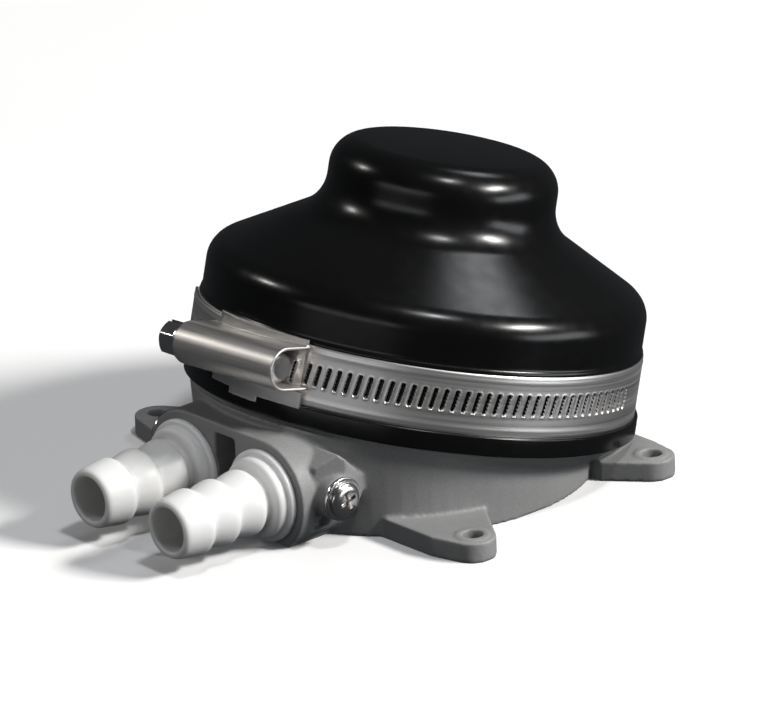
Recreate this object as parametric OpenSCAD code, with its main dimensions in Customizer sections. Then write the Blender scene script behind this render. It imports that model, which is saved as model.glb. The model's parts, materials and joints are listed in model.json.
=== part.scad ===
// Foot-operated diaphragm pump for bilge or galley water.
// Units are millimetres and +Z is up. The origin is the centre of the round
// base, on its underside. The two hose ports point along -Y.
// The rubber diaphragm and its clip share one axis, which leans towards +Y.

/* [Body] */
// Radius of the round base
base_r = 41.4; // [40.6:0.2:42]
// Lean of the diaphragm axis towards +Y, in degrees
lean = 14; // [13:0.5:15]
// Height where the clip's lower plane crosses the diaphragm axis
rim_z = 16.9; // [16.5:0.1:17.5]
// Radius of the rim that the rubber is clamped to
rim_r = 44; // [43.6:0.1:44.2]
// Height of that rim above the clip's lower plane
rim_h = 12.6; // [11:0.2:12.8]
// Radius of the flange under the rubber
flange_r = 46.2; // [46:0.1:46.6]
// Thickness of the chamber floor
floor_t = 3; // [2.6:0.2:3.4]

/* [Mounting lugs] */
// Radius of each screw hole
lug_hole_r = 2.15; // [1.8:0.05:2.4]
// Thickness of the lugs
lug_t = 4.3; // [4:0.1:5.5]
// Distance of the front holes from the middle
front_hole_x = 48.6; // [47.5:0.1:50]
// Distance of the rear holes from the middle
rear_hole_x = 43.3; // [42.5:0.1:44.5]

/* [Hose ports] */
// Distance of each port from the middle
port_x = 12.1; // [12:0.1:12.6]
// Height of the ports above the base
port_z = 10.1; // [10.1:0.1:10.5]
// Distance of the port face from the middle
port_face = 47.8; // [47:0.2:48.4]
// Outer radius of each port
port_r = 11.6; // [11.4:0.1:11.8]

/* [Hose tails] */
// Radius of the barbs, for hose of 1/2 inch bore
barb_r = 6.9; // [6.6:0.1:7.1]
// Radius of the bore
tail_bore_r = 4.7; // [4.3:0.1:4.8]
// Distance of the free end from the middle
tail_end = 74.5; // [72:0.5:78]

/* [Diaphragm] */
// Outer radius of the rubber skirt
skirt_r = 46.2; // [46.1:0.1:46.4]
// Radius of the foot knob
knob_r = 24; // [23:0.5:25]
// Height of the knob's top above the clip's lower plane
knob_top = 50.3; // [49:0.1:52]
// Slope of the flexing wall, in degrees
wall_slope = 29.5; // [28:0.5:31]

/* [Clip] */
// Width of the band
band_w = 12.7; // [12.7:0.1:12.9]
// Thickness of the band
band_t = 0.7; // [0.6:0.05:0.7]
// Distance from slot to slot along the band
slot_pitch = 2.25; // [2.15:0.05:2.35]
// Number of slots in the band outside the housing
slot_count = 36; // [30:1:38]
// Twist of the worm housing out of the band's plane, in degrees
housing_skew = 3.5; // [2.5:0.5:4]

/* [Hidden] */
$fn = 96;

inlet = -1;
outlet = 1;
far = 200;

// Body
rim_y = 4.4;
wall_draft = 4;
wall_h = 40;
wall_top_s = -5;
chamber_low_r = 38;
chamber_r = 41;
chamber_floor_s = -4.4;
flange_top_s = -2.4;
flange_low_s = -4.6;
flange_root_r = 41;
flange_root_s = -8.6;
seat_r = 10.5;
seat_s = -8;
stub_r = 7.4;
stub_h = 3;

// Lugs
front_hole_y = -24;
front_edge_start = [43.6, -30.4];
front_edge_end = [39.2, -11.8];
rear_hole_y = 31.4;
rear_edge_start = [38.4, 37];
rear_edge_end = [38.7, 21.2];
lug_tip_r = 4.9;
lug_root_x = 15;
lug_ring_r = 3.5;
lug_ring_h = 0.3;

// Ports
socket_r = 8;
socket_wall_r = 9.7;
port_back = 36;
port_rim_depth = 4.2;
inner_port_r = 10;
inner_port_front = 34;
inner_port_end = 16.5;
inlet_shoulder = 31.5;
outlet_shoulder = 20.5;
outlet_passage_r = 6;
flap_bore_r = 7.4;
boss_y = -39.7;
boss_dz = 0.75;
boss_x = 26.4;
boss_r = 4.7;
ear_top = [-39.3, 20.1];
ear_front_z = 17.4;
ear_corner = [-32.6, 13.1];
ear_low = [-34.3, 9.2];
ear_slant_start = 22.8;
ear_slant_y = -38.2;
inlet_ear_z = 15.4;
recess_r = 5.1;
recess_back_y = -37.7;
foot_x = 18.9;
foot_t = 3.3;
centre_pocket_x = 3;
centre_pocket_low = 5;
centre_pocket_top = 19.6;
centre_pocket_depth = 9;
screw_clear_r = 1.75;

// Hose tails
spigot_r = 7.9;
spigot_end = 34;
groove_r = 6.3;
o_ring_y = 44;
o_ring_groove_w = 2.2;
o_ring_section_r = 0.83;
lock_groove_w = 4.4;
collar_r = 9.8;
collar_t = 1.4;
hub_r = 8.6;
hub_t = 2.2;
barb_root_r = 5.9;
barb_count = 3;
barb_neck = 1.6;
barb_step = 0.5;
barb_land = 1.6;
nose_t = 2.2;
barb_pitch = (tail_end - port_face - collar_t - hub_t - nose_t) / barb_count;
key_w = 2.6;
key_h = 1.1;

// Valves
valve_seat_t = 2.5;
valve_seat_r = 7.95;
valve_bore_r = 3.8;
flap_r = 5.9;
flap_top = 3.2;
tongue_w = 4.8;
flap_t = 1.2;
flap_gap = 0.1;
hinge_dz = 5;
hinge_dy = 0.9;
hinge_bead_r = 0.85;
hinge_pin_r = 0.5;
hinge_hole_r = 0.55;
hinge_ear_x = 2.7;
hinge_ear_t = 1.1;
hinge_ear_h = 2;
hinge_ear_l = 2.2;
cage_r = 7.35;
cage_l = spigot_end - outlet_shoulder - valve_seat_t;

// Locking screws
screw_shank_r = 1.6;
screw_tip_x = 18.7;
screw_head_r = 3.65;
screw_head_h = 1.6;
washer_r = 4.65;
washer_t = 0.8;
recess_w = 0.8;
recess_l = 4.2;

// Diaphragm
rubber_t = skirt_r - rim_r;
lip_r = 47.5;
lip_low_s = flange_low_s + 0.4;
lip_gap = 0.05;
clamped_r = 46.05;
bead_r = 46.55;
bead_s = 13.3;
split_gap = 0.12;
shoulder_s = 19.6;
shoulder_r = 6.2;
fillet_r = 8.5;
crown_h = 0.5;
corner_r = 6.5;
arc_steps = 8;

// Foot plate and spring
plate_clear = 0.05;
plate_t = 3;
plate_skirt_t = 2;
plate_skirt_s = 40;
spring_r = 9;
wire_r = 1;
spring_turns = 8;
wire_sides = 10;
rings_per_turn = 14;

// Clip
band_r = clamped_r + band_t;
slot_l = 4.7;
slot_w = 1.1;
slot_slant = -10;
slot_start = -72;
slot_mid_s = 6.6;
tail_gap = 0.05;
tail_r = band_r + tail_gap;
tail_t = 0.65;
tail_edge = 0.2;
tail_start = -73;
tail_sweep = 63;
tail_slots = 18;
housing_gap = 0.06;
housing_r = tail_r + tail_t + housing_gap;
sheet_t = 0.7;
housing_left = 12.8;
housing_right = 17.8;
housing_low_s = -0.6;
housing_high_s = 13.9;
housing_lobe_s = -1.9;
housing_lobe_half = 5;
housing_mid_s = 7.05;
barrel_r = 4.6;
barrel_bore_r = 3.95;
barrel_left = 13.9;
barrel_right = 15.2;
cap_t = 0.8;
cap_bore_r = 2.48;
flange_inner = 4.2;
saddle_t = 0.6;
saddle_r = clamped_r - saddle_t;
saddle_left = 12;
saddle_right = 17;
worm_r = 3.6;
worm_clear = 0.06;
worm_y = tail_r + tail_t + worm_clear + worm_r;
worm_root_r = 3;
worm_pitch = slot_pitch;
worm_turns = 11;
worm_start = -12.4;
neck_r = 2.4;
hex_flats = 7;
hex_l = 4.5;
head_disc_r = 4.2;
head_disc_t = 0.8;
head_gap = 0.1;
screw_slot_w = 1;
screw_slot_d = 1.2;

slot_angle = slot_pitch / band_r * 180 / PI;

// ---- helpers -------------------------------------------------------------

// Points on an arc about c, from angle a0 to a1
function arc(c, r, a0, a1, n) =
    [for (i = [0 : n]) c + r * [cos(a0 + (a1 - a0) * i / n), sin(a0 + (a1 - a0) * i / n)]];

// Where the line from p touches the circle (c, r), on the given side
function tangent_point(p, c, r, side) =
    let (d = p - c, a = atan2(d.y, d.x) + side * acos(r / norm(d)))
    c + r * [cos(a), sin(a)];

// Diaphragm axis as local Z, with the clip's lower plane at z = 0
module on_axis() {
    translate([0, rim_y, rim_z]) rotate([-lean, 0, 0]) children();
}

// Port axis as local Z, pointing into the body from the plane y = 0
module on_port(side) {
    translate([side * port_x, 0, port_z]) rotate([-90, 0, 0]) children();
}

// Cylinder on the port axis between two distances in front of the middle
module port_cylinder(side, r, front, back) {
    on_port(side) translate([0, 0, -front]) cylinder(h = front - back, r = r);
}

// Profile turned about the port axis: x is the radius, y the distance in front
module port_turned(side) {
    on_port(side) mirror([0, 0, 1]) rotate_extrude() children();
}

// Locking screw's axis as local Z, pointing out of the boss
module on_screw(side) {
    translate([0, boss_y, port_z + boss_dz]) rotate([0, side * 90, 0]) children();
}

// Worm housing: local X runs along the worm and -Y points away from the pump
module on_housing() {
    on_axis() translate([0, 0, housing_mid_s]) children();
}

module on_worm() {
    on_housing() translate([0, -worm_y, 0]) rotate([0, -housing_skew, 0]) rotate([0, 90, 0]) children();
}

// Part of a ring about the diaphragm axis, centred on angle -90
module front_arc(r, t, s0, s1, left, right) {
    rotate_extrude(angle = left + right, start = -90 - left) translate([r, s0]) square([t, s1 - s0]);
}

// ---- pump body -----------------------------------------------------------

module tilted_rim() {
    on_axis() rotate_extrude() polygon([
        [0, flange_root_s - 1],
        [flange_root_r - 1, flange_root_s - 1],
        [flange_root_r, flange_root_s],
        [flange_r, flange_low_s],
        [flange_r, flange_top_s],
        [rim_r, flange_top_s],
        [rim_r, rim_h],
        [0, rim_h]
    ]);
}

module round_wall() {
    intersection() {
        cylinder(h = wall_h, r1 = base_r, r2 = base_r + wall_h * tan(wall_draft));
        on_axis() translate([0, 0, wall_top_s - far]) cylinder(h = far, r = far);
    }
}

module chamber() {
    intersection() {
        translate([0, 0, floor_t]) cylinder(h = wall_h, r = chamber_low_r);
        on_axis() translate([0, 0, chamber_floor_s + 1 - far]) cylinder(h = far, r = far);
    }
    on_axis() translate([0, 0, chamber_floor_s]) cylinder(h = wall_h, r = chamber_r);
}

// A lug's outer edge runs straight out from the wall to edge_start, then tapers to the tip
module lug(hole, edge_start, edge_end) {
    side = sign(edge_end.y - hole.y);
    linear_extrude(lug_t) {
        translate(hole) circle(lug_tip_r);
        polygon([
            [lug_root_x, edge_start.y],
            edge_start,
            tangent_point(edge_start, hole, lug_tip_r, side),
            hole,
            tangent_point(edge_end, hole, lug_tip_r, -side),
            edge_end,
            [lug_root_x, edge_end.y]
        ]);
    }
    translate(hole) cylinder(h = lug_t + lug_ring_h, r = lug_ring_r);
}

module lug_pair(hole, edge_start, edge_end) {
    for (side = [0, 1]) mirror([side, 0, 0]) lug(hole, edge_start, edge_end);
}

module port_outline(r) {
    for (side = [-1, 1]) translate([side * port_x, port_z]) circle(r);
    translate([-port_x, port_z - r]) square([2 * port_x, 2 * r]);
}

module along_y(front, back) {
    translate([0, -back, 0]) rotate([90, 0, 0]) linear_extrude(front - back) children();
}

// Shape in the YZ plane, drawn out along X from the port's axis on one side
module along_x(side, length) {
    rotate([90, 0, 90]) mirror([0, 0, side < 0 ? 1 : 0])
        translate([0, 0, port_x]) linear_extrude(length) children();
}

// Arched recess in each side of the block, between its front rim and the screw's boss
module side_recess() {
    axis_z = port_z + boss_dz;
    intersection() {
        union() {
            translate([boss_y, axis_z]) circle(recess_r);
            translate([-port_face, foot_t]) square([port_face + boss_y, axis_z - foot_t]);
        }
        translate([port_rim_depth - port_face, 0])
            square([recess_back_y - port_rim_depth + port_face, far]);
    }
}

// Ear that joins the block to the round wall, in side view; the inlet's is lower
module ear_profile(side) {
    rim_back = port_rim_depth - port_face;
    intersection() {
        polygon([
            [rim_back, ear_front_z],
            ear_top,
            ear_corner,
            ear_low,
            [boss_y, port_z + boss_dz - boss_r],
            [rim_back, port_z + boss_dz]
        ]);
        translate([-far, 0]) square([2 * far, side == inlet ? inlet_ear_z : far]);
    }
}

// The ear in plan
module ear_plan() {
    rim_back = port_rim_depth - port_face;
    polygon([
        [0, rim_back],
        [ear_slant_start, rim_back],
        [boss_x, ear_slant_y],
        [boss_x, -inner_port_end],
        [0, -inner_port_end]
    ]);
}

module screw_ear(side) {
    on_screw(side) translate([0, 0, port_x]) cylinder(h = boss_x - port_x, r = boss_r);
    intersection() {
        along_x(side, boss_x) difference() {
            ear_profile(side);
            side_recess();
        }
        mirror([side < 0 ? 1 : 0, 0, 0]) linear_extrude(far) ear_plan();
    }
}

module port_block() {
    difference() {
        along_y(port_face, port_back) port_outline(port_r);
        difference() {
            for (side = [-1, 1]) along_x(side, port_r + 1) side_recess();
            along_y(port_face, port_back - 1) port_outline(socket_wall_r);
        }
    }
    for (side = [-1, 1]) screw_ear(side);
    translate([-foot_x, -port_face, 0]) cube([2 * foot_x, port_face - port_back, foot_t]);
}

module inner_ports() {
    for (side = [-1, 1]) {
        port_cylinder(side, inner_port_r, port_face - 4, inner_port_end);
        translate([side * port_x - inner_port_r, -inner_port_front, 1])
            cube([2 * inner_port_r, inner_port_front - inner_port_end, port_z - 1]);
    }
}

module spring_seat() {
    intersection() {
        on_axis() {
            translate([0, 0, seat_s - 10]) cylinder(h = 10, r = seat_r);
            translate([0, 0, seat_s - 1]) cylinder(h = stub_h + 1, r = stub_r);
        }
        translate([-far / 2, -far / 2, 1]) cube(far);
    }
}

module port_bores() {
    port_cylinder(inlet, socket_r, port_face + 1, inlet_shoulder);
    port_cylinder(inlet, flap_bore_r, inlet_shoulder + 1, inner_port_end - 1);
    port_cylinder(outlet, socket_r, port_face + 1, outlet_shoulder);
    port_cylinder(outlet, outlet_passage_r, outlet_shoulder + 1, inner_port_end - 1);
    for (side = [-1, 1])
        on_screw(side) translate([0, 0, port_x]) cylinder(h = boss_x, r = screw_clear_r, $fn = 48);
}

module centre_pocket() {
    along_y(port_face + 1, port_face - centre_pocket_depth) difference() {
        translate([-centre_pocket_x, centre_pocket_low])
            square([2 * centre_pocket_x, centre_pocket_top - centre_pocket_low]);
        for (side = [-1, 1]) translate([side * port_x, port_z]) circle(socket_wall_r);
    }
}

module lug_holes() {
    for (side = [-1, 1]) {
        translate([side * front_hole_x, front_hole_y, -1])
            cylinder(h = 2 * lug_t, r = lug_hole_r, $fn = 48);
        translate([side * rear_hole_x, rear_hole_y, -1]) cylinder(h = 2 * lug_t, r = lug_hole_r, $fn = 48);
    }
}

module pump_body() {
    color("dimgray") difference() {
        union() {
            difference() {
                intersection() {
                    union() {
                        round_wall();
                        tilted_rim();
                        port_block();
                        lug_pair([front_hole_x, front_hole_y], front_edge_start, front_edge_end);
                        lug_pair([rear_hole_x, rear_hole_y], rear_edge_start, rear_edge_end);
                    }
                    translate([-far / 2, -far / 2, 0]) cube(far);
                }
                chamber();
            }
            inner_ports();
            spring_seat();
        }
        port_bores();
        centre_pocket();
        lug_holes();
    }
}

// ---- diaphragm: one rubber moulding in three stretches -------------------

shoulder_c = [skirt_r - shoulder_r, shoulder_s];
slope_start = shoulder_c + shoulder_r * [sin(wall_slope), cos(wall_slope)];
fillet_x = knob_r + fillet_r;
fillet_y = slope_start.y + (fillet_r - (fillet_x - slope_start.x) * sin(wall_slope)) / cos(wall_slope);
fillet_c = [fillet_x, fillet_y];
corner_c = [knob_r - corner_r, knob_top - crown_h - corner_r];

// Stretches of the outer profile, moved inwards by t
function shoulder(t) = arc(shoulder_c, shoulder_r - t, 0, 90 - wall_slope, arc_steps);
function fillet(t) = arc(fillet_c, fillet_r + t, -90 - wall_slope, -180, arc_steps);
function corner(t) = arc(corner_c, corner_r - t, 0, 90, arc_steps);
function reversed(points) = [for (i = [len(points) - 1 : -1 : 0]) points[i]];

module diaphragm_rim() {
    color([0.09, 0.09, 0.1]) on_axis() difference() {
        rotate_extrude() polygon([
            [rim_r, flange_top_s],
            [flange_r + lip_gap, flange_top_s],
            [flange_r + lip_gap, lip_low_s],
            [lip_r, lip_low_s],
            [lip_r, -0.4],
            [lip_r - 0.4, 0],
            [clamped_r, 0],
            [clamped_r, band_w],
            [bead_r, band_w],
            [bead_r, bead_s],
            [skirt_r, bead_s + 0.6],
            [skirt_r, shoulder_s],
            [rim_r, shoulder_s]
        ]);
        front_arc(saddle_r, lip_r, -saddle_t, band_w + saddle_t, saddle_left + 1, saddle_right + 1);
    }
}

module diaphragm_wall() {
    gap = split_gap * [cos(wall_slope), -sin(wall_slope)];
    color([0.1, 0.1, 0.11]) on_axis() rotate_extrude() polygon(concat(
        shoulder(0),
        [fillet(0)[0] + gap, fillet(rubber_t)[0] + gap],
        reversed(shoulder(rubber_t))
    ));
}

module diaphragm_knob() {
    color([0.09, 0.09, 0.1]) on_axis() rotate_extrude() polygon(concat(
        fillet(0),
        corner(0),
        [[0, knob_top], [0, knob_top - crown_h - rubber_t]],
        reversed(corner(rubber_t)),
        reversed(fillet(rubber_t))
    ));
}

module foot_plate() {
    plate_r = knob_r - rubber_t - plate_clear;
    plate_s = knob_top - crown_h - rubber_t - plate_clear;
    plate_corner = corner_r - rubber_t;
    color("ivory") on_axis() rotate_extrude() polygon(concat(
        [[plate_r - plate_skirt_t, plate_skirt_s], [plate_r, plate_skirt_s]],
        arc([plate_r - plate_corner, plate_s - plate_corner], plate_corner, 0, 90, arc_steps),
        [
            [0, plate_s],
            [0, plate_s - plate_t - stub_h],
            [stub_r, plate_s - plate_t - stub_h],
            [stub_r, plate_s - plate_t],
            [plate_r - plate_skirt_t, plate_s - plate_t]
        ]
    ));
}

// ---- return spring -------------------------------------------------------

spring_low = seat_s + wire_r;
spring_high = knob_top - crown_h - rubber_t - plate_clear - plate_t - wire_r;
end_pitch = 2 * wire_r + 0.05;
open_pitch = (spring_high - spring_low - 2 * end_pitch) / (spring_turns - 2);

// Height of the wire's centre after a number of turns, with closed end turns
function spring_rise(turn) =
    end_pitch * min(turn, 1)
    + open_pitch * max(0, min(turn - 1, spring_turns - 2))
    + end_pitch * max(0, turn - spring_turns + 1);

module return_spring() {
    rings = spring_turns * rings_per_turn;
    points = [for (i = [0 : rings]) for (j = [0 : wire_sides - 1])
        let (turn = i / rings_per_turn, a = 360 * turn)
        let (b = 360 * j / wire_sides, r = spring_r + wire_r * cos(b))
        [r * cos(a), r * sin(a), spring_low + spring_rise(turn) + wire_r * sin(b)]];
    sides = [for (i = [0 : rings - 1]) for (j = [0 : wire_sides - 1])
        let (k = (j + 1) % wire_sides, low = i * wire_sides, high = low + wire_sides)
        [low + j, high + j, high + k, low + k]];
    ends = [
        [for (j = [0 : wire_sides - 1]) j],
        [for (j = [wire_sides - 1 : -1 : 0]) rings * wire_sides + j]
    ];
    color("silver") on_axis() polyhedron(points = points, faces = concat(sides, ends));
}

// ---- worm-drive clip -----------------------------------------------------

module band_slots(first, count, r, step) {
    for (i = [0 : count - 1])
        rotate([0, 0, first + step * i])
            translate([r, 0, slot_mid_s]) rotate([slot_slant, 0, 0])
                cube([2, slot_w, slot_l], center = true);
}

module clamp_band() {
    color("silver") on_axis() difference() {
        rotate_extrude() translate([clamped_r, 0]) square([band_t, band_w]);
        band_slots(slot_start, slot_count, band_r, slot_angle);
    }
}

module clamp_band_tail() {
    color("gainsboro") on_axis() difference() {
        rotate_extrude(angle = tail_sweep, start = tail_start - tail_sweep)
            translate([tail_r, tail_edge]) square([tail_t, band_w - 2 * tail_edge]);
        band_slots(tail_start - slot_angle, tail_slots, tail_r, -slot_angle);
    }
}

// Section of the barrel and its two side walls, open towards the band
module barrel_section(r) {
    circle(r);
    translate([-r, 0]) square([2 * r, barrel_r + 3]);
}

module barrel_shell() {
    translate([0, 0, -barrel_left]) {
        linear_extrude(barrel_left + barrel_right) difference() {
            barrel_section(barrel_r);
            barrel_section(barrel_bore_r);
        }
        translate([0, 0, -cap_t]) difference() {
            cylinder(h = cap_t, r = barrel_r);
            translate([0, 0, -1]) cylinder(h = cap_t + 2, r = cap_bore_r);
        }
    }
}

module clamp_housing() {
    color("silver") difference() {
        union() {
            on_worm() barrel_shell();
            on_axis() {
                front_arc(housing_r, sheet_t,
                    housing_low_s, housing_mid_s - flange_inner,
                    housing_left, housing_right);
                front_arc(housing_r, sheet_t,
                    housing_mid_s + flange_inner, housing_high_s,
                    housing_left, housing_right);
                front_arc(housing_r, sheet_t,
                    housing_lobe_s, housing_low_s,
                    housing_lobe_half, housing_lobe_half);
            }
        }
        on_axis() translate([0, 0, housing_lobe_s - 1])
            cylinder(h = housing_high_s - housing_lobe_s + 2, r = housing_r);
    }
}

// Channel under the band, whose two walls stand up to the housing's flanges
module clamp_saddle() {
    color("gainsboro") on_axis() {
        front_arc(saddle_r, saddle_t, -saddle_t, band_w + saddle_t, saddle_left, saddle_right);
        for (s = [-saddle_t, band_w])
            front_arc(saddle_r, housing_r - saddle_r, s, s + saddle_t, saddle_left, saddle_right);
    }
}

// Worm, drawn with ring grooves at the band's pitch, and its hexagon head
module clamp_screw() {
    groove = worm_r - worm_root_r;
    head_z = -barrel_left - cap_t - head_gap;
    hex_z = head_z - head_disc_t - hex_l;
    color("silver") on_worm() difference() {
        union() {
            rotate_extrude() polygon(concat(
                [[0, worm_start - 1.2], [neck_r, worm_start - 1.2], [neck_r, worm_start]],
                [for (i = [0 : worm_turns - 1]) for (p = [
                    [worm_root_r, 0],
                    [worm_root_r, worm_pitch / 2],
                    [worm_r, worm_pitch / 2 + groove / 2],
                    [worm_r, worm_pitch - groove / 2]
                ]) [p.x, worm_start + worm_pitch * i + p.y]],
                [
                    [worm_root_r, worm_start + worm_pitch * worm_turns],
                    [neck_r, worm_start + worm_pitch * worm_turns + 1.5],
                    [0, worm_start + worm_pitch * worm_turns + 1.5]
                ]
            ));
            translate([0, 0, head_z]) cylinder(h = worm_start - head_z, r = neck_r);
            translate([0, 0, head_z - head_disc_t]) cylinder(h = head_disc_t, r = head_disc_r);
            translate([0, 0, hex_z]) cylinder(h = hex_l, r = hex_flats / 2 / cos(30), $fn = 6);
        }
        translate([0, 0, hex_z]) cube([screw_slot_w, hex_flats * 2, screw_slot_d * 2], center = true);
    }
}

// ---- hose tails and their seals ------------------------------------------

// Barbs rise towards the pump: a cone, a short land, then a square step
function barb(i) =
    let (back = port_face + collar_t + hub_t + barb_pitch * i)
    [
        [barb_root_r, back],
        [barb_root_r, back + barb_neck],
        [barb_r, back + barb_neck + barb_step],
        [barb_r, back + barb_neck + barb_step + barb_land]
    ];

module hosetail(side) {
    color("whitesmoke") {
        port_turned(side) polygon(concat(
            [
                [tail_bore_r, spigot_end],
                [spigot_r, spigot_end],
                [spigot_r, -boss_y - lock_groove_w / 2],
                [groove_r, -boss_y - lock_groove_w / 2],
                [groove_r, -boss_y + lock_groove_w / 2],
                [spigot_r, -boss_y + lock_groove_w / 2],
                [spigot_r, o_ring_y - o_ring_groove_w / 2],
                [groove_r, o_ring_y - o_ring_groove_w / 2],
                [groove_r, o_ring_y + o_ring_groove_w / 2],
                [spigot_r, o_ring_y + o_ring_groove_w / 2],
                [spigot_r, port_face],
                [collar_r, port_face],
                [collar_r, port_face + collar_t],
                [hub_r, port_face + collar_t],
                [hub_r, port_face + collar_t + hub_t]
            ],
            [for (i = [0 : barb_count - 1]) each barb(i)],
            [
                [barb_root_r, tail_end - 0.4],
                [barb_root_r - 0.4, tail_end],
                [tail_bore_r, tail_end]
            ]
        ));
        translate([side * port_x - key_w / 2, -port_face - collar_t, port_z + collar_r - 1])
            cube([key_w, collar_t, key_h + 1]);
    }
}

module o_ring(side) {
    color([0.12, 0.12, 0.12]) port_turned(side)
        translate([groove_r + o_ring_section_r + 0.02, o_ring_y]) circle(o_ring_section_r, $fn = 32);
}

// ---- valves --------------------------------------------------------------
// Local frame of a valve: X across, Y up, Z towards the side that it opens to,
// with the sealing face at z = 0.

module on_valve(side) {
    face_y = side == inlet ? -inlet_shoulder : -outlet_shoulder - valve_seat_t;
    translate([side * port_x, face_y, port_z])
        rotate([90, 0, side == inlet ? 180 : 0]) children();
}

module hinge_ears() {
    for (x = [-1, 1]) difference() {
        translate([x * (hinge_ear_x + hinge_ear_t / 2), hinge_dz, hinge_ear_l / 2 - 0.2])
            cube([hinge_ear_t, hinge_ear_h, hinge_ear_l + 0.4], center = true);
        translate([0, hinge_dz, flap_gap + hinge_dy]) rotate([0, 90, 0])
            cylinder(h = 20, r = hinge_hole_r, center = true, $fn = 32);
    }
}

module valve_seat(side) {
    color("white") on_valve(side) {
        difference() {
            union() {
                translate([0, 0, -valve_seat_t]) cylinder(h = valve_seat_t, r = valve_seat_r);
                if (side == outlet) cylinder(h = cage_l, r = valve_seat_r);
            }
            translate([0, 0, -valve_seat_t - 1]) cylinder(h = valve_seat_t + 2, r = valve_bore_r);
            if (side == outlet) cylinder(h = far, r = cage_r);
        }
        hinge_ears();
    }
}

module valve_flap(side) {
    color([0.15, 0.15, 0.16]) on_valve(side) {
        translate([0, 0, flap_gap]) linear_extrude(flap_t) {
            intersection() {
                circle(flap_r);
                translate([-far / 2, flap_top - far]) square(far);
            }
            translate([-tongue_w / 2, 0]) square([tongue_w, hinge_dz]);
        }
        translate([0, hinge_dz, flap_gap + hinge_dy]) rotate([0, 90, 0]) {
            cylinder(h = tongue_w, r = hinge_bead_r, center = true, $fn = 32);
            cylinder(h = 2 * (hinge_ear_x + hinge_ear_t), r = hinge_pin_r, center = true, $fn = 32);
        }
    }
}

// ---- locking screws and washers ------------------------------------------

module locking_screw(side) {
    color("silver") on_screw(side) difference() {
        union() {
            translate([0, 0, screw_tip_x])
                cylinder(h = boss_x + washer_t - screw_tip_x, r = screw_shank_r, $fn = 48);
            translate([0, 0, boss_x + washer_t]) rotate_extrude() polygon(concat(
                [[0, 0], [screw_head_r, 0]],
                arc([screw_head_r - 1.6, screw_head_h - 1.6], 1.6, 0, 90, 6),
                [[0, screw_head_h]]
            ));
        }
        for (a = [20, 110]) rotate([0, 0, a]) translate([0, 0, boss_x + washer_t + screw_head_h])
            cube([recess_w, recess_l, 2.4], center = true);
    }
}

module screw_washer(side) {
    color("gray") on_screw(side) translate([0, 0, boss_x]) difference() {
        cylinder(h = washer_t, r = washer_r);
        translate([0, 0, -1]) cylinder(h = washer_t + 2, r = screw_clear_r, $fn = 48);
    }
}

pump_body();
diaphragm_rim();
diaphragm_wall();
diaphragm_knob();
foot_plate();
return_spring();
clamp_band();
clamp_band_tail();
clamp_housing();
clamp_saddle();
clamp_screw();
hosetail(inlet);  // inlet_hosetail
hosetail(outlet);  // outlet_hosetail
o_ring(inlet);  // inlet_o_ring
o_ring(outlet);  // outlet_o_ring
valve_seat(inlet);  // inlet_valve_seat
valve_seat(outlet);  // outlet_valve_seat
valve_flap(inlet);  // inlet_valve_flap
valve_flap(outlet);  // outlet_valve_flap
locking_screw(inlet);  // inlet_locking_screw
locking_screw(outlet);  // outlet_locking_screw
screw_washer(inlet);  // inlet_screw_washer
screw_washer(outlet);  // outlet_screw_washer
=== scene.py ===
"""Looks of a foot-operated diaphragm pump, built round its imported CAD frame."""
import json
import math

import bpy
from mathutils import Matrix, Vector


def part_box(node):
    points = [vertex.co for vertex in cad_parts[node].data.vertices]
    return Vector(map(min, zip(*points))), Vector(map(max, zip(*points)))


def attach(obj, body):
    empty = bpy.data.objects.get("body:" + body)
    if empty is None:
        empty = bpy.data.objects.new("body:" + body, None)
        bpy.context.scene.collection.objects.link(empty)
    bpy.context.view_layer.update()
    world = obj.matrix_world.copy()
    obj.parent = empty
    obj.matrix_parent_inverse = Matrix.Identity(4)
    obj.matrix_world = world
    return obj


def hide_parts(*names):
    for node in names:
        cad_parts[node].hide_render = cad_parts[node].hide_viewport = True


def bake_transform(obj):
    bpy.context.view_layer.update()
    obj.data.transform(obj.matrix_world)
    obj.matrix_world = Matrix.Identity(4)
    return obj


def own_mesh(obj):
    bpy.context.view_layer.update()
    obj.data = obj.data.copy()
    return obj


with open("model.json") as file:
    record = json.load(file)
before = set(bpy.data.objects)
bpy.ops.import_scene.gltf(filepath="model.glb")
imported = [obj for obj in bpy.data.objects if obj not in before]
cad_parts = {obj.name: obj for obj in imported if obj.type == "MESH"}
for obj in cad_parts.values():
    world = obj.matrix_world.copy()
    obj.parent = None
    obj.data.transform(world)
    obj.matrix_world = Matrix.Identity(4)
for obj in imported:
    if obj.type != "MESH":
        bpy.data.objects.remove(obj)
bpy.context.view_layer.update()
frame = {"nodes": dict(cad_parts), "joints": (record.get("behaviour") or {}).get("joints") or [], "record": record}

MM = 0.001
JOINTS = {joint["name"]: joint for joint in frame["joints"]}
MOUNTS = {mount["name"]: mount for mount in frame["record"]["mounts"]}

# The diaphragm's axis, from the joint that the band's tail turns on
RIM_CENTRE = Vector(JOINTS["band_tail_feed"]["pos_m"])
UP_AXIS = -Vector(JOINTS["band_tail_feed"]["axis"]).normalized()
WORM_CENTRE = Vector(JOINTS["clamp_screw_turn"]["pos_m"])
WORM_AXIS = Vector(JOINTS["clamp_screw_turn"]["axis"]).normalized()


# ---- frames ----------------------------------------------------------------


def frame_on(origin, z_axis, x_hint):
    """Matrix of a local frame at origin, with Z along z_axis and X near x_hint."""
    z = Vector(z_axis).normalized()
    y = z.cross(Vector(x_hint)).normalized()
    x = y.cross(z)
    turn = Matrix((x, y, z)).transposed().to_4x4()
    return Matrix.Translation(origin) @ turn


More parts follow.
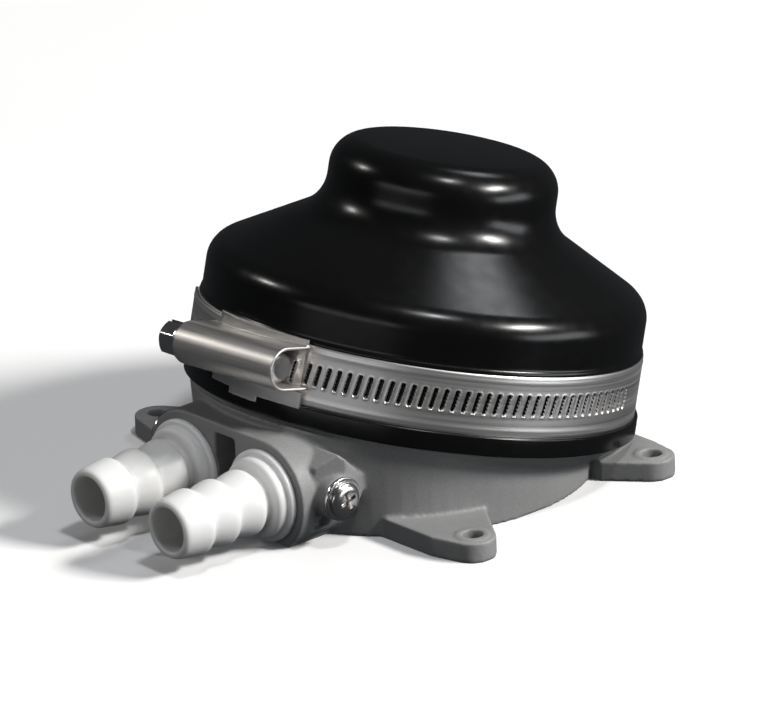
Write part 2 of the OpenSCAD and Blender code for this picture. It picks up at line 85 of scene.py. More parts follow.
DIAPHRAGM_FRAME = frame_on(RIM_CENTRE, UP_AXIS, (1, 0, 0))
WORM_FRAME = frame_on(WORM_CENTRE, WORM_AXIS, (0, -1, 0))


# ---- mesh helpers ----------------------------------------------------------


def new_piece(name, points, faces, matrix=None):
    """Mesh object from points in millimetres, placed by matrix."""
    mesh = bpy.data.meshes.new(name)
    mesh.from_pydata([Vector(p) * MM for p in points], [], faces)
    mesh.update()
    if matrix is not None:
        mesh.transform(matrix)
    piece = bpy.data.objects.new(name, mesh)
    bpy.context.scene.collection.objects.link(piece)
    return piece


def select_only(piece):
    bpy.ops.object.select_all(action="DESELECT")
    piece.select_set(True)
    bpy.context.view_layer.objects.active = piece


def tidy_mesh(piece, sharp_degrees=35):
    """Points faces outwards and shades them smooth, with creases kept."""
    select_only(piece)
    bpy.ops.object.mode_set(mode="EDIT")
    bpy.ops.mesh.select_all(action="SELECT")
    bpy.ops.mesh.remove_doubles(threshold=1e-7)
    bpy.ops.mesh.normals_make_consistent(inside=False)
    bpy.ops.object.mode_set(mode="OBJECT")
    bpy.ops.object.shade_smooth_by_angle(angle=math.radians(sharp_degrees))
    return piece


def apply_modifiers(piece):
    """Makes the modifiers' result the piece's own mesh."""
    graph = bpy.context.evaluated_depsgraph_get()
    made = bpy.data.meshes.new_from_object(piece.evaluated_get(graph))
    piece.modifiers.clear()
    piece.data = made


def rounded(corners, steps=5):
    """Path through corners (x, y, radius), each corner cut back and curved."""
    path = []
    last = len(corners) - 1
    for i, (x, y, r) in enumerate(corners):
        here = Vector((x, y))
        if r == 0 or i in (0, last):
            path.append(here)
            continue
        before = Vector(corners[i - 1][:2]) - here
        after = Vector(corners[i + 1][:2]) - here
        a = here + before.normalized() * min(r, before.length * 0.49)
        b = here + after.normalized() * min(r, after.length * 0.49)
        for k in range(steps + 1):
            t = k / steps
            path.append(a * (1 - t) ** 2 + here * 2 * t * (1 - t) + b * t ** 2)
    return path


def arc(centre_x, centre_y, radius, start, end, steps):
    """Points on an arc, with angles in degrees."""
    points = []
    for i in range(steps + 1):
        angle = math.radians(start + (end - start) * i / steps)
        points.append(Vector((centre_x + radius * math.cos(angle), centre_y + radius * math.sin(angle))))
    return points


def between(a, b, steps):
    """Points inside the straight stretch from a to b."""
    return [a.lerp(b, i / steps) for i in range(1, steps)]


def turned(name, path, segments, matrix):
    """Body of revolution about local Z; path is a closed loop of (radius, height)."""
    rows = len(path)
    points = []
    for i in range(segments):
        angle = 2 * math.pi * i / segments
        points += [(p.x * math.cos(angle), p.x * math.sin(angle), p.y) for p in path]
    faces = []
    for i in range(segments):
        j = (i + 1) % segments
        for k in range(rows):
            m = (k + 1) % rows
            faces.append((i * rows + k, j * rows + k, j * rows + m, i * rows + m))
    return tidy_mesh(new_piece(name, points, faces, matrix))


# Share of the faces that softened pieces keep
KEPT_FACES = 0.35


def cad_copy(name, node):
    """Piece with a copy of a CAD node's own mesh, linked at the world origin."""
    piece = frame["nodes"][node].copy()
    piece.data = piece.data.copy()
    piece.name = name
    piece.parent = None
    piece.matrix_world = Matrix.Identity(4)
    bpy.context.scene.collection.objects.link(piece)
    return piece


def softened(name, node, voxel, passes):
    """Copy of a CAD node with its edges rounded as a moulding's or a pressing's are."""
    piece = cad_copy(name, node)
    piece.data.materials.clear()
    remesh = piece.modifiers.new("Remesh", "REMESH")
    remesh.mode = "VOXEL"
    remesh.voxel_size = voxel * MM
    smooth = piece.modifiers.new("Smooth", "SMOOTH")
    smooth.factor = 0.5
    smooth.iterations = passes
    thin = piece.modifiers.new("Decimate", "DECIMATE")
    thin.ratio = KEPT_FACES
    apply_modifiers(piece)
    for face in piece.data.polygons:
        face.use_smooth = True
    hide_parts(node)
    return piece


def cut(piece, cutter):
    """Takes cutter away from piece."""
    boolean = piece.modifiers.new("Cut", "BOOLEAN")
    boolean.operation = "DIFFERENCE"
    boolean.object = cutter
    boolean.solver = "EXACT"
    apply_modifiers(piece)
    bpy.data.objects.remove(cutter)


def block(size, matrix):
    """Plain box, used only to cut with."""
    x, y, z = [v / 2 for v in size]
    points = [(i * x, j * y, k * z) for i in (-1, 1) for j in (-1, 1) for k in (-1, 1)]
    faces = [(0, 1, 3, 2), (4, 6, 7, 5), (0, 4, 5, 1), (2, 3, 7, 6), (0, 2, 6, 4), (1, 5, 7, 3)]
    return tidy_mesh(new_piece("cutter", points, faces, matrix))


# ---- materials -------------------------------------------------------------

# Noise stays between about these values
NOISE_SPAN = (0.3, 0.7)
GRAIN_SPAN = (0.35, 0.65)


class Shader:
    """Small helper that builds one node material."""

    def __init__(self, name):
        self.material = bpy.data.materials.new(name)
        self.material.use_nodes = True
        self.nodes = self.material.node_tree.nodes
        self.links = self.material.node_tree.links
        self.surface = self.nodes["Principled BSDF"]
        self.place = self.nodes.new("ShaderNodeTexCoord").outputs["Object"]

    def set(self, **values):
        for key, value in values.items():
            self.surface.inputs[key.replace("_", " ")].default_value = value
        return self

    def stretched(self, scale, matrix):
        """Coordinates scaled along a local frame's own axes."""
        mapping = self.nodes.new("ShaderNodeMapping")
        mapping.vector_type = "TEXTURE"
        mapping.inputs["Scale"].default_value = [1 / s for s in scale]
        mapping.inputs["Rotation"].default_value = matrix.to_euler()
        mapping.inputs["Location"].default_value = matrix.to_translation()
        self.links.new(self.place, mapping.inputs["Vector"])
        return mapping.outputs["Vector"]

    def noise(self, scale, detail=3, rough=0.55, vector=None):
        node = self.nodes.new("ShaderNodeTexNoise")
        node.inputs["Scale"].default_value = scale
        node.inputs["Detail"].default_value = detail
        node.inputs["Roughness"].default_value = rough
        self.links.new(vector if vector is not None else self.place, node.inputs["Vector"])
        return node.outputs["Fac"]

    def ramp(self, value, low, high, span=NOISE_SPAN):
        """Colour ramp that goes from low to high within span."""
        node = self.nodes.new("ShaderNodeValToRGB")
        node.color_ramp.elements[0].position = span[0]
        node.color_ramp.elements[0].color = (*low, 1)
        node.color_ramp.elements[1].position = span[1]
        node.color_ramp.elements[1].color = (*high, 1)
        self.links.new(value, node.inputs["Fac"])
        return node.outputs["Color"]

    def spread(self, value, low, high):
        """Maps noise between its usual limits onto low to high."""
        node = self.nodes.new("ShaderNodeMapRange")
        node.inputs["From Min"].default_value = NOISE_SPAN[0]
        node.inputs["From Max"].default_value = NOISE_SPAN[1]
        node.inputs["To Min"].default_value = low
        node.inputs["To Max"].default_value = high
        self.links.new(value, node.inputs["Value"])
        return node.outputs["Result"]

    def mix(self, factor, a, b):
        """Mixes two colours; sockets 6 and 7 are the node's colour pair."""
        node = self.nodes.new("ShaderNodeMix")
        node.data_type = "RGBA"
        node.inputs[0].default_value = factor
        self.links.new(a, node.inputs[6])
        self.links.new(b, node.inputs[7])
        return node.outputs[2]

    def colour(self, socket):
        self.links.new(socket, self.surface.inputs["Base Color"])

    def roughness(self, socket):
        self.links.new(socket, self.surface.inputs["Roughness"])

    def bump(self, *layers):
        """Stacks bumps; each layer is (height socket, depth in millimetres)."""
        normal = None
        for height, depth in layers:
            node = self.nodes.new("ShaderNodeBump")
            node.inputs["Strength"].default_value = 1
            node.inputs["Distance"].default_value = depth * MM
            self.links.new(height, node.inputs["Height"])
            if normal is not None:
                self.links.new(normal, node.inputs["Normal"])
            normal = node.outputs["Normal"]
        self.links.new(normal, self.surface.inputs["Normal"])
        return self


def grey(value, warmth=0.0):
    """Grey, made warmer by a share of its value."""
    return (value * (1 + warmth), value, value * (1 - warmth))


def body_plastic():
    s = Shader("body_plastic")
    cloudy = s.noise(70, 4)
    grain = s.noise(2600, 2)
    base = s.ramp(cloudy, grey(0.23), grey(0.255))
    s.colour(s.mix(0.12, base, s.ramp(grain, grey(0.12), grey(0.42), GRAIN_SPAN)))
    s.roughness(s.spread(s.noise(420, 3), 0.42, 0.56))
    return s.set(Specular_IOR_Level=0.35).bump((s.noise(900, 3), 0.02), (grain, 0.008)).material


def rubber(name, value):
    s = Shader(name)
    cloudy = s.noise(60, 4)
    s.colour(s.ramp(cloudy, grey(value * 0.85), grey(value * 1.15)))
    s.roughness(s.spread(s.noise(260, 4), 0.2, 0.27))
    skin = s.noise(500, 4)
    grain = s.noise(3200, 2)
    return s.set(Specular_IOR_Level=0.35).bump((skin, 0.008), (grain, 0.004)).material


def strip_steel():
    """Rolled strip, with fine lines along its length, round the diaphragm's axis."""
    s = Shader("strip_steel")
    along = s.stretched((14, 14, 1900), DIAPHRAGM_FRAME)
    lines = s.noise(1, 4, 0.6, along)
    stain = s.noise(55, 3)
    tint = s.ramp(stain, grey(0.74, 0.02), grey(0.84, 0.045))
    s.colour(s.mix(0.25, tint, s.ramp(lines, grey(0.42), grey(0.85))))
    s.roughness(s.spread(lines, 0.34, 0.48))
    return s.set(Metallic=1.0).bump((lines, 0.004), (s.noise(180, 2), 0.01)).material


def pressed_steel():
    """Housing sheet, rolled along the worm, with a faint warm stain."""
    s = Shader("pressed_steel")
    along = s.stretched((1500, 1500, 30), WORM_FRAME)
    lines = s.noise(1, 4, 0.6, along)
    stain = s.noise(90, 4)
    tint = s.ramp(stain, grey(0.56, 0.02), grey(0.68, 0.06))
    s.colour(s.mix(0.2, tint, s.ramp(lines, grey(0.42), grey(0.8))))
    s.roughness(s.spread(lines, 0.38, 0.52))
    return s.set(Metallic=1.0).bump((lines, 0.004), (s.noise(260, 2), 0.014)).material


def turned_steel(name, bright):
    s = Shader(name)
    lines = s.noise(2200, 3)
    s.colour(s.ramp(s.noise(160, 3), grey(bright * 0.9, 0.01), grey(bright, 0.03)))
    s.roughness(s.spread(lines, 0.16, 0.27))
    return s.set(Metallic=1.0).bump((lines, 0.003)).material


def white_plastic(name):
    s = Shader(name)
    s.colour(s.ramp(s.noise(45, 3), (0.73, 0.73, 0.715), (0.77, 0.77, 0.765)))
    s.roughness(s.spread(s.noise(300, 3), 0.34, 0.46))
    s.set(Subsurface_Weight=0.7, Subsurface_Scale=0.003)
    s.surface.inputs["Subsurface Radius"].default_value = (1.0, 0.95, 0.85)
    return s.bump((s.noise(240, 3), 0.02)).material


def plate_plastic():
    s = Shader("plate_plastic")
    s.colour(s.ramp(s.noise(60, 3), (0.66, 0.63, 0.55), (0.73, 0.71, 0.63)))
    s.roughness(s.spread(s.noise(400, 3), 0.45, 0.6))
    return s.bump((s.noise(900, 2), 0.015)).material


def floor_paint():
    s = Shader("floor_paint")
    s.colour(s.ramp(s.noise(3, 3), grey(0.93), grey(0.945)))
    s.roughness(s.spread(s.noise(30, 3), 0.8, 0.9))
    return s.material


MATERIALS = {
    "body_plastic": body_plastic(),
    "diaphragm_rubber": rubber("diaphragm_rubber", 0.0035),
    "seal_rubber": rubber("seal_rubber", 0.022),
    "plate_plastic": plate_plastic(),
    "clip_steel": strip_steel(),
    "pressed_steel": pressed_steel(),
    "clip_screw_steel": turned_steel("clip_screw_steel", 0.7),
    "screw_steel": turned_steel("screw_steel", 0.72),
    "washer_steel": turned_steel("washer_steel", 0.6),
    "spring_steel": turned_steel("spring_steel", 0.55),
    "tail_plastic": white_plastic("tail_plastic"),
    "valve_plastic": white_plastic("valve_plastic"),
    "floor_paint": floor_paint(),
}


def finish_piece(piece, body, slot, material=None):
    """Paints a piece and lets it ride on its body."""
    piece.data.materials.clear()
    piece.data.materials.append(MATERIALS[material or slot])
    if body is not None:
        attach(piece, body)


def paint_cad_nodes():
    """Procedural finish on every CAD node; those that a piece replaces aren't shown."""
    for entry in frame["record"]["subparts"]:
        node = frame["nodes"][entry["node"]]
        for place in node.material_slots:
            place.material = MATERIALS[entry["material_slot"]]


# ---- diaphragm -------------------------------------------------------------

# Heights in millimetres along the axis, from the middle of the band's lower edge
SKIRT_R = 46.2
RUBBER_T = 2.2
SEAT_R = 46.05
BEAD_R = 46.6
LIP_R = 47.5
LIP_LOW = -4.2
FLANGE_TOP = -2.4
FLANGE_CLEAR_R = 46.25
BAND_W = 12.7
SHOULDER_S = 19.7
SHOULDER_R = 6.0
SLOPE = math.radians(29.7)
FILLET_R = 8.7
KNOB_R = 24.0
KNOB_TOP = 50.3
CORNER_R = 6.5
CROWN = 0.5
RIM_INNER_R = 44.0
RIM_INNER_S = 10.0


def dome_path(inset):
    """Profile from the skirt's shoulder to the knob's middle, moved in by inset."""
    shoulder_x = SKIRT_R - SHOULDER_R
    start_x = shoulder_x + SHOULDER_R * math.sin(SLOPE)
    start_y = SHOULDER_S + SHOULDER_R * math.cos(SLOPE)
    fillet_x = KNOB_R + FILLET_R
    fillet_y = start_y + (FILLET_R - (fillet_x - start_x) * math.sin(SLOPE)) / math.cos(SLOPE)
    slope = math.degrees(SLOPE)
    shoulder = arc(shoulder_x, SHOULDER_S, SHOULDER_R - inset, 0, 90 - slope, 12)
    fillet = arc(fillet_x, fillet_y, FILLET_R + inset, -90 - slope, -180, 14)
    corner = arc(KNOB_R - CORNER_R, KNOB_TOP - CROWN - CORNER_R, CORNER_R - inset, 0, 88, 14)
    path = shoulder + between(shoulder[-1], fillet[0], 14) + fillet
    path += between(fillet[-1], corner[0], 3) + corner
    edge_x = corner[-1].x
    edge_y = corner[-1].y
    steps = 12
    for i in range(1, steps + 1):
        x = edge_x * (1 - i / steps)
        path.append(Vector((max(x, 0.02), edge_y + (CROWN * (1 - (x / edge_x) ** 2)))))
    return path


def diaphragm_skin():
    """The whole rubber as one skin, turned about the diaphragm's axis."""
    rim = rounded([
        (RIM_INNER_R, FLANGE_TOP, 0.2),
        (FLANGE_CLEAR_R, FLANGE_TOP, 0.1),
        (FLANGE_CLEAR_R, LIP_LOW, 0.2),
        (LIP_R, LIP_LOW, 0.5),
        (LIP_R, -0.05, 0.5),
        (SEAT_R, 0.0, 0.2),
        (SEAT_R, BAND_W, 0.1),
        (BEAD_R, BAND_W + 0.1, 0.25),
        (BEAD_R - 0.1, BAND_W + 0.75, 0.35),
        (SKIRT_R, BAND_W + 1.2, 0.6),
        (SKIRT_R, SHOULDER_S, 0),
    ])
    outer = rim[:-1] + dome_path(0)
    inner = dome_path(RUBBER_T)
    inner.reverse()
    path = outer + inner + [Vector((RIM_INNER_R, RIM_INNER_S))]
    piece = turned("diaphragm_skin", path, 200, DIAPHRAGM_FRAME)
    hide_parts("diaphragm_rim", "diaphragm_wall", "diaphragm_knob")
    finish_piece(piece, None, "diaphragm_rubber")
    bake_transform(piece)


# ---- pump body -------------------------------------------------------------

BODY_VOXEL = 0.38
BODY_PASSES = 2


def body_shell():
    piece = softened("body_shell", "pump_body", BODY_VOXEL, BODY_PASSES)
    finish_piece(piece, "pump", "body_plastic")


# ---- hose tails ------------------------------------------------------------

BARB_R = 6.9
ROOT_R = 5.9
BORE_R = 4.7
SPIGOT_R = 7.9
SPIGOT_END = 34.0
PORT_FACE = 47.8
COLLAR_R = 9.8
COLLAR_T = 1.4
HUB_R = 8.6
HUB_T = 2.2
TAIL_END = 74.5
BARBS = 3
BARB_CREST = 2.2
BARB_BACK = 4.6


def hosetail(name, node, mount):
    """Barbed tail, turned about the port's axis; height is the distance in front."""
    hub_end = PORT_FACE + COLLAR_T + HUB_T
    pitch = (TAIL_END - hub_end - BARB_CREST) / BARBS
    corners = [
        (BORE_R, SPIGOT_END, 0),
        (SPIGOT_R, SPIGOT_END, 0.3),
        (SPIGOT_R, PORT_FACE - 2, 0),
        (SPIGOT_R, PORT_FACE, 0),
        (COLLAR_R, PORT_FACE, 0.35),
        (COLLAR_R, PORT_FACE + COLLAR_T, 0.6),
        (HUB_R, PORT_FACE + COLLAR_T + 0.1, 0.4),
        (HUB_R, hub_end, 1.3),
        (ROOT_R + 0.2, hub_end + 0.1, 0.6),
    ]
    for i in range(BARBS):
        back = hub_end + pitch * i
        corners += [
            (ROOT_R, back + 1.3, 0.9),
            (BARB_R + 0.3, back + BARB_CREST, 1.5),
            (BARB_R, back + BARB_BACK, 2.2),
        ]
    corners += [
        (ROOT_R + 0.35, TAIL_END - 0.1, 1.2),
        (BORE_R + 0.1, TAIL_END, 0.5),
        (BORE_R, TAIL_END - 1.5, 0.5),
        (BORE_R, SPIGOT_END, 0),
    ]
    x, z = mount["pos_m"][0], mount["pos_m"][2]
    place = frame_on(Vector((x, 0, z)), (0, -1, 0), (1, 0, 0))
    piece = turned(name, rounded(corners)[:-1], 96, place)
    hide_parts(node)
    finish_piece(piece, "pump", "tail_plastic")


# ---- worm-drive clip -------------------------------------------------------

BAND_T = 0.7
SLOT_PITCH = 2.25
SLOT_L = 4.7
SLOT_W = 0.95
SLOT_SLANT = math.radians(10)
SLOT_MID = 6.6
SLOT_DEPTH = 0.62
TAIL_R = 46.8
TAIL_T = 0.65
TAIL_INSET = 0.2
# Where the loop, its slots and the tail start, and how far the tail reaches
LOOP_START = math.radians(-100)
LOOP_SLOTS_START = math.radians(-72)
LOOP_SLOTS = 36
TAIL_START = math.radians(-73)
TAIL_SWEEP = math.radians(63)
TAIL_SLOTS = 18
# Steps along the strip, and rows in from its edges
FINE_STEP = 0.135
COARSE_STEP = math.radians(1.0)
EDGE_ROWS = (0.06, 0.22, 0.6, 1.05, 1.3, 1.6, 2.4)
EDGE_ROLL = 0.16
RIB_H = 0.07
RIB_IN = 1.3
RIB_W = 0.22


def smooth_step(low, high, value):
    t = min(1.0, max(0.0, (value - low) / (high - low)))
    return t * t * (3 - 2 * t)


def slot_dip(across, along):
    """Depth of a pressed slot at a point beside its middle, with a faint raised edge."""
    half_w, half_l = SLOT_W / 2, SLOT_L / 2
    corner = half_w * 0.9
    dx = max(abs(across) - (half_w - corner), 0)
    dy = max(abs(along) - (half_l - corner), 0)
    outside = math.hypot(dx, dy) - corner
    dip = SLOT_DEPTH * (1 - smooth_step(-0.2, 0.04, outside))
    lip = 0.07 * math.exp(-((outside - 0.16) / 0.13) ** 2)
    return dip - lip


def strip(name, node, body, inner_r, thick, low, high, start, sweep, slots):
    """Band or tail: a strip round the diaphragm's axis, with slots pressed into it.

    slots holds the first slot's angle, how many there are, and which way they run.
    """
    outer_r = inner_r + thick
    pitch = SLOT_PITCH / (SEAT_R + BAND_T)
    first, count, step_sign = slots
    fine = FINE_STEP / outer_r
    slot_low = min(first, first + step_sign * pitch * (count - 1)) - pitch * 0.6
    slot_high = max(first, first + step_sign * pitch * (count - 1)) + pitch * 0.6
    angles = []
    angle, end = start, start + sweep
    while angle < end - 1e-6:
        angles.append(angle)
        angle += fine if slot_low <= angle <= slot_high else COARSE_STEP
    angles.append(end)
    rows = [low] + [low + inset for inset in EDGE_ROWS] + [low + 3.2]
    rows += [SLOT_MID - 3.0 + 0.2 * i for i in range(31)]
    rows += [high - inset for inset in reversed(EDGE_ROWS)] + [high]

    def outer(angle, s):
        edge = min(s - low, high - s)
        r = outer_r - EDGE_ROLL * (1 - smooth_step(-0.05, 0.3, edge))
        r += RIB_H * math.exp(-((edge - RIB_IN) / RIB_W) ** 2)
        if slot_low <= angle <= slot_high:
            near = round((angle - first) / (step_sign * pitch))
            if 0 <= near < count:
                u = (angle - first - near * step_sign * pitch) * outer_r
                v = s - SLOT_MID
                across = u * math.cos(SLOT_SLANT) - v * math.sin(SLOT_SLANT)
                along = u * math.sin(SLOT_SLANT) + v * math.cos(SLOT_SLANT)
                r -= slot_dip(across, along)
        return r

    inside = [high - 0.05, (low + high) / 2, low + 0.05]
    points, faces = [], []
    for angle in angles:
        for s in rows:
            r = outer(angle, s)
            points.append((r * math.cos(angle), r * math.sin(angle), s))
        for s in inside:
            points.append((inner_r * math.cos(angle), inner_r * math.sin(angle), s))
    ring = len(rows) + len(inside)
    columns = len(angles)
    for i in range(columns - 1):
        j = i + 1
        for k in range(ring):
            m = (k + 1) % ring
            faces.append((i * ring + k, j * ring + k, j * ring + m, i * ring + m))
    faces.append(tuple(range(ring)))
    faces.append(tuple(reversed(range((columns - 1) * ring, columns * ring))))
    piece = tidy_mesh(new_piece(name, points, faces, DIAPHRAGM_FRAME), 40)
    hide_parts(node)
    finish_piece(piece, body, "clip_steel")
    # painted shade in the slots
    paint_slot_shade(piece, inner_r)


def paint_slot_shade(piece, inner_r):
    """Painted shade: slot bottoms take the black diaphragm rubber, which stands in for the shade deep in the
    slots.
    """
    piece.data.materials.append(MATERIALS["diaphragm_rubber"])
    to_local = DIAPHRAGM_FRAME.inverted()
    for face in piece.data.polygons:
        spot = to_local @ face.center / MM
        depth = math.hypot(spot.x, spot.y) - inner_r
        # painted shade: faces deep in a slot get the dark rubber material
        if 0.03 < depth < 0.36 and abs(spot.z - SLOT_MID) < SLOT_L / 2:
            face.material_index = 1


def band_loop():
    strip("band_loop", "clamp_band", "pump", SEAT_R, BAND_T, 0, BAND_W,
          LOOP_START, math.radians(360), (LOOP_SLOTS_START, LOOP_SLOTS, 1))


def band_tail():
    pitch = SLOT_PITCH / (SEAT_R + BAND_T)
    strip("band_tail_strip", "clamp_band_tail", "band_tail", TAIL_R, TAIL_T,
          TAIL_INSET, BAND_W - TAIL_INSET,
          TAIL_START - TAIL_SWEEP, TAIL_SWEEP, (TAIL_START - pitch, TAIL_SLOTS, -1))


HOUSING_VOXEL = 0.15
HOUSING_PASSES = 3


def clip_housing():
    piece = softened("clip_housing", "clamp_housing", HOUSING_VOXEL, HOUSING_PASSES)
    finish_piece(piece, "pump", "clip_steel", "pressed_steel")


WORM_R = 3.6
WORM_ROOT = 2.95
WORM_LOW = -12.4
WORM_TURNS = 11
HEAD_Z = -14.8
DISC_T = 0.8
DISC_R = 4.2
HEX_AF = 7.0
HEX_L = 4.5
NECK_R = 2.4
POINT_L = 1.5
POINT_TAPER = 0.7
DRIVE_SLOT_W = 1.0
DRIVE_SLOT_D = 1.2
THREAD_STEPS = 230


def clip_screw():
    """Worm with a helical thread, its neck, collar and slotted hexagon head."""
    segments = 72
    low = HEAD_Z - DISC_T - HEX_L
    high = WORM_LOW + SLOT_PITCH * WORM_TURNS + POINT_L
    hex_end = HEAD_Z - DISC_T
    corner_r = HEX_AF / 2 / math.cos(math.radians(30)) - 0.12
    heights = [low, low + 0.15, low + 0.35, low + 0.7, low + 1.2, hex_end - 0.02]
    heights += [hex_end, hex_end + 0.1, HEAD_Z - 0.1, HEAD_Z, HEAD_Z + 0.02, WORM_LOW - 0.1]
    heights += [WORM_LOW + (high - WORM_LOW) * i / THREAD_STEPS for i in range(THREAD_STEPS + 1)]

    def radius(angle, z):
        if z < hex_end - 0.01:
            face = (math.degrees(angle) + 30) % 60 - 30
            flat = HEX_AF / 2 / math.cos(math.radians(face))
            chamfer = HEX_AF / 2 + 0.05 + (z - low) * 1.2
            return min(flat, corner_r, chamfer)
        if z <= HEAD_Z + 0.001:
            return DISC_R - 0.1 * (z < hex_end + 0.05 or z > HEAD_Z - 0.05)
        if z < WORM_LOW:
            return NECK_R
        turn = (z - WORM_LOW) / SLOT_PITCH - angle / (2 * math.pi)
        phase = abs((turn % 1) - 0.5) * 2
        crest = 1 - smooth_step(0.35, 0.62, phase)
        fade = smooth_step(WORM_LOW, WORM_LOW + 1.2, z)
        fade *= 1 - smooth_step(high - 2.4, high - 1.0, z)
        r = WORM_ROOT + (WORM_R - WORM_ROOT) * crest * fade
        return r - POINT_TAPER * smooth_step(high - 0.9, high, z)

    points, faces = [], []
    for z in heights:
        for i in range(segments):
            angle = 2 * math.pi * i / segments
            r = radius(angle, z)
            points.append((r * math.cos(angle), r * math.sin(angle), z))
    for k in range(len(heights) - 1):
        for i in range(segments):
            j = (i + 1) % segments
            a, b = k * segments, (k + 1) * segments
            faces.append((a + i, a + j, b + j, b + i))
    faces.append(tuple(reversed(range(segments))))
    faces.append(tuple(range((len(heights) - 1) * segments, len(heights) * segments)))
    piece = tidy_mesh(new_piece("clip_screw", points, faces, WORM_FRAME), 30)
    slot_place = WORM_FRAME @ Matrix.Translation(Vector((0, 0, low * MM)))
    cut(piece, block((DRIVE_SLOT_W, HEX_AF * 2, DRIVE_SLOT_D * 2), slot_place))
    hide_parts("clamp_screw")
    finish_piece(piece, "clamp_screw", "clip_screw_steel")


# ---- locking screws --------------------------------------------------------

SHANK_R = 1.6
SHANK_L = 7.7
HEAD_R = 3.65
HEAD_H = 1.6
WASHER_R = 4.65
WASHER_T = 0.8
WASHER_BORE_R = 1.75
CROSS_W = 0.85
CROSS_L = 4.0
CROSS_D = 1.1
CROSS_SPIN = 20
PIT_W = 1.7
PIT_H = 1.4


def pan_screw(side, place):
    """Cross-recess screw standing on its washer, turned about local Z."""
    top = WASHER_T + HEAD_H
    profile = rounded([
        (0.02, -SHANK_L, 0),
        (SHANK_R - 0.5, -SHANK_L, 0.1),
        (SHANK_R, -SHANK_L + 0.6, 0.1),
        (SHANK_R, WASHER_T, 0),
        (HEAD_R - 0.15, WASHER_T, 0.1),
        (HEAD_R, WASHER_T + 0.3, 0.2),
        (HEAD_R, WASHER_T + 0.75, 0.4),
        (HEAD_R - 1.0, top - 0.12, 1.2),
        (0.02, top, 0),
    ], 8)
    piece = turned(side + "_pan_screw", profile, 72, place)
    crown = Matrix.Translation(Vector((0, 0, top * MM)))
    for spin in (CROSS_SPIN, CROSS_SPIN + 90):
        tip = crown @ Matrix.Rotation(math.radians(spin), 4, "Z")
        cut(piece, block((CROSS_W, CROSS_L, CROSS_D * 2), place @ tip))
    bottom = Matrix.Translation(Vector((0, 0, (top - CROSS_D) * MM)))
    pit_place = place @ bottom @ Matrix.Rotation(math.radians(CROSS_SPIN), 4, "Z")
    cut(piece, block((PIT_W, PIT_W, PIT_H), pit_place))
    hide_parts(side + "_locking_screw")
    finish_piece(piece, "pump", "screw_steel")
    select_only(piece)
    bpy.ops.object.shade_smooth_by_angle(angle=math.radians(32))


def plain_washer(side, place):
    profile = rounded([
        (WASHER_BORE_R, 0, 0),
        (WASHER_R, 0, 0.12),
        (WASHER_R, WASHER_T, 0.3),
        (WASHER_BORE_R, WASHER_T, 0.1),
        (WASHER_BORE_R, 0, 0),
    ])
    piece = turned(side + "_plain_washer", profile[:-1], 72, place)
    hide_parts(side + "_screw_washer")
    finish_piece(piece, "pump", "washer_steel")


def locking_parts():
    """Each locking screw and its washer, placed by the CAD washer's own box."""
    for side, sign in (("inlet", -1), ("outlet", 1)):
        low, high = (Vector(corner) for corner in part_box(side + "_screw_washer"))
        seat = (low + high) / 2
        seat.x = low.x if sign > 0 else high.x
        place = frame_on(seat, (sign, 0, 0), (0, 0, 1))
        pan_screw(side, place)
        plain_washer(side, place)


# ---- return spring ---------------------------------------------------------


def coil_spring():
    """The CAD's own coil, copied with a mesh of its own."""
    spring = cad_copy("coil_spring", "return_spring")
    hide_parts("return_spring")
    finish_piece(spring, "pump", "spring_steel")
    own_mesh(spring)


# ---- stage, light and camera -----------------------------------------------

FLOOR_HALF = 4000
FLOOR_Z = -0.02
LIGHT_TARGET = Vector((0, 0, 0.03))
# Name, azimuth, elevation, distance, width and height, watts, colour; metres and degrees
LIGHTS = [
    ("key", 122, 36, 3.2, (0.9, 0.35), 122.0, (1.0, 0.985, 0.96)),
    ("second", -57, 33, 3.2, (0.25, 0.25), 15.0, (1.0, 0.97, 0.93)),
    ("overhead", 84, 68, 3.2, (0.4, 0.4), 28.0, (0.97, 0.98, 1.0)),
    ("front_panel", 8, 14, 3.0, (3.0, 0.7), 9.0, (0.96, 0.97, 1.0)),
    ("side_panel", 122, 4, 3.0, (2.2, 0.8), 24.0, (0.93, 0.96, 1.0)),
    ("rear", 188, 52, 3.2, (0.8, 0.8), 10.0, (0.93, 0.96, 1.0)),
]
SKY_COLOUR = (0.85, 0.92, 1.0, 1)
SKY_STRENGTH = 0.045
SENSOR_W = 36
LENS = 532.4
CLIP_END = 50
VIEW_AZIMUTH = 48.39
VIEW_ELEVATION = 21.49
VIEW_ROLL = math.radians(-1.91)
VIEW_DISTANCE = 2.3175
VIEW_TARGET = Vector((1.68, -6.31, 24.65)) * MM

def floor():
    """Wide plane under the pump, left out of bounced light and reflections."""
    corners = [(-1, -1), (1, -1), (1, 1), (-1, 1)]
    points = [(x * FLOOR_HALF, y * FLOOR_HALF, FLOOR_Z) for x, y in corners]
    piece = new_piece("floor", points, [(0, 1, 2, 3)])
    piece.data.materials.append(MATERIALS["floor_paint"])
    piece.visible_diffuse = False
    piece.visible_glossy = False


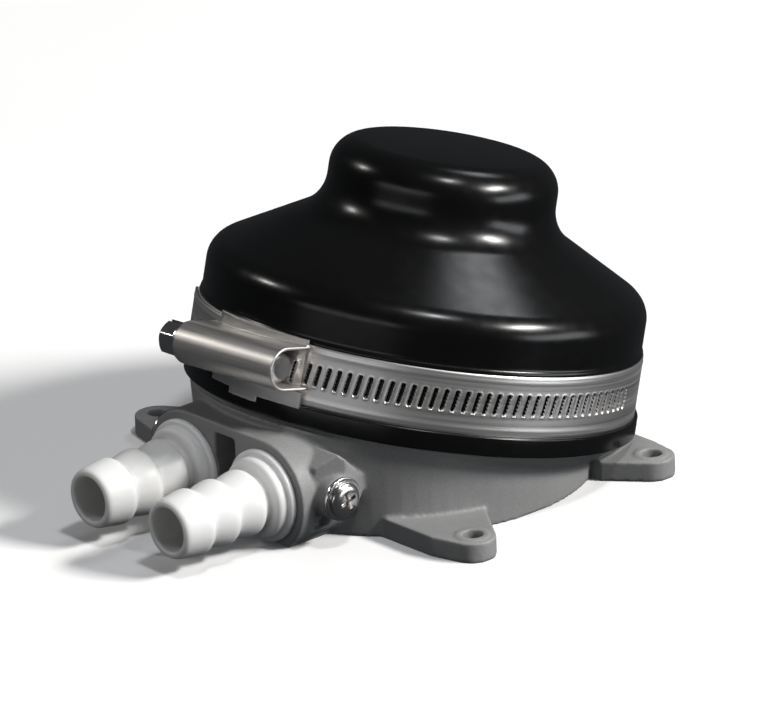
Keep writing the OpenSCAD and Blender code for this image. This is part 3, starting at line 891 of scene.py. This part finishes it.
def direction(azimuth, elevation):
    """Unit vector towards a viewer; azimuth 0 is in front of the hose tails."""
    a = math.radians(azimuth)
    e = math.radians(elevation)
    return Vector((math.sin(a) * math.cos(e), -math.cos(a) * math.cos(e), math.sin(e)))


def soft_light(name, azimuth, elevation, distance, size, power, colour):
    """Area light aimed at the pump."""
    data = bpy.data.lights.new(name, "AREA")
    data.shape = "RECTANGLE"
    data.size = size[0]
    data.size_y = size[1]
    data.energy = power
    data.color = colour
    light = bpy.data.objects.new(name, data)
    bpy.context.scene.collection.objects.link(light)
    back = direction(azimuth, elevation)
    light.location = LIGHT_TARGET + back * distance
    light.rotation_mode = "QUATERNION"
    light.rotation_quaternion = (-back).to_track_quat("-Z", "Y")


def lights():
    for light in LIGHTS:
        soft_light(*light)
    world = bpy.data.worlds.new("studio")
    world.use_nodes = True
    sky = world.node_tree.nodes["Background"]
    sky.inputs["Color"].default_value = SKY_COLOUR
    sky.inputs["Strength"].default_value = SKY_STRENGTH
    bpy.context.scene.world = world
    bpy.context.scene.view_settings.view_transform = "Standard"


def camera():
    data = bpy.data.cameras.new("camera")
    data.sensor_width = SENSOR_W
    data.lens = LENS
    data.clip_end = CLIP_END
    eye = bpy.data.objects.new("camera", data)
    bpy.context.scene.collection.objects.link(eye)
    back = direction(VIEW_AZIMUTH, VIEW_ELEVATION)
    eye.location = VIEW_TARGET + back * VIEW_DISTANCE
    right = Vector((-back.y, back.x, 0)).normalized()
    up = back.cross(right)
    x = right * math.cos(VIEW_ROLL) + up * math.sin(VIEW_ROLL)
    y = up * math.cos(VIEW_ROLL) - right * math.sin(VIEW_ROLL)
    eye.rotation_mode = "QUATERNION"
    eye.rotation_quaternion = Matrix((x, y, back)).transposed().to_quaternion()
    bpy.context.scene.camera = eye


camera()
paint_cad_nodes()
body_shell()
diaphragm_skin()
hosetail("inlet_tail", "inlet_hosetail", MOUNTS["inlet_hose"])
hosetail("outlet_tail", "outlet_hosetail", MOUNTS["outlet_hose"])
band_loop()
band_tail()
clip_housing()
clip_screw()
locking_parts()
coil_spring()
floor()
lights()
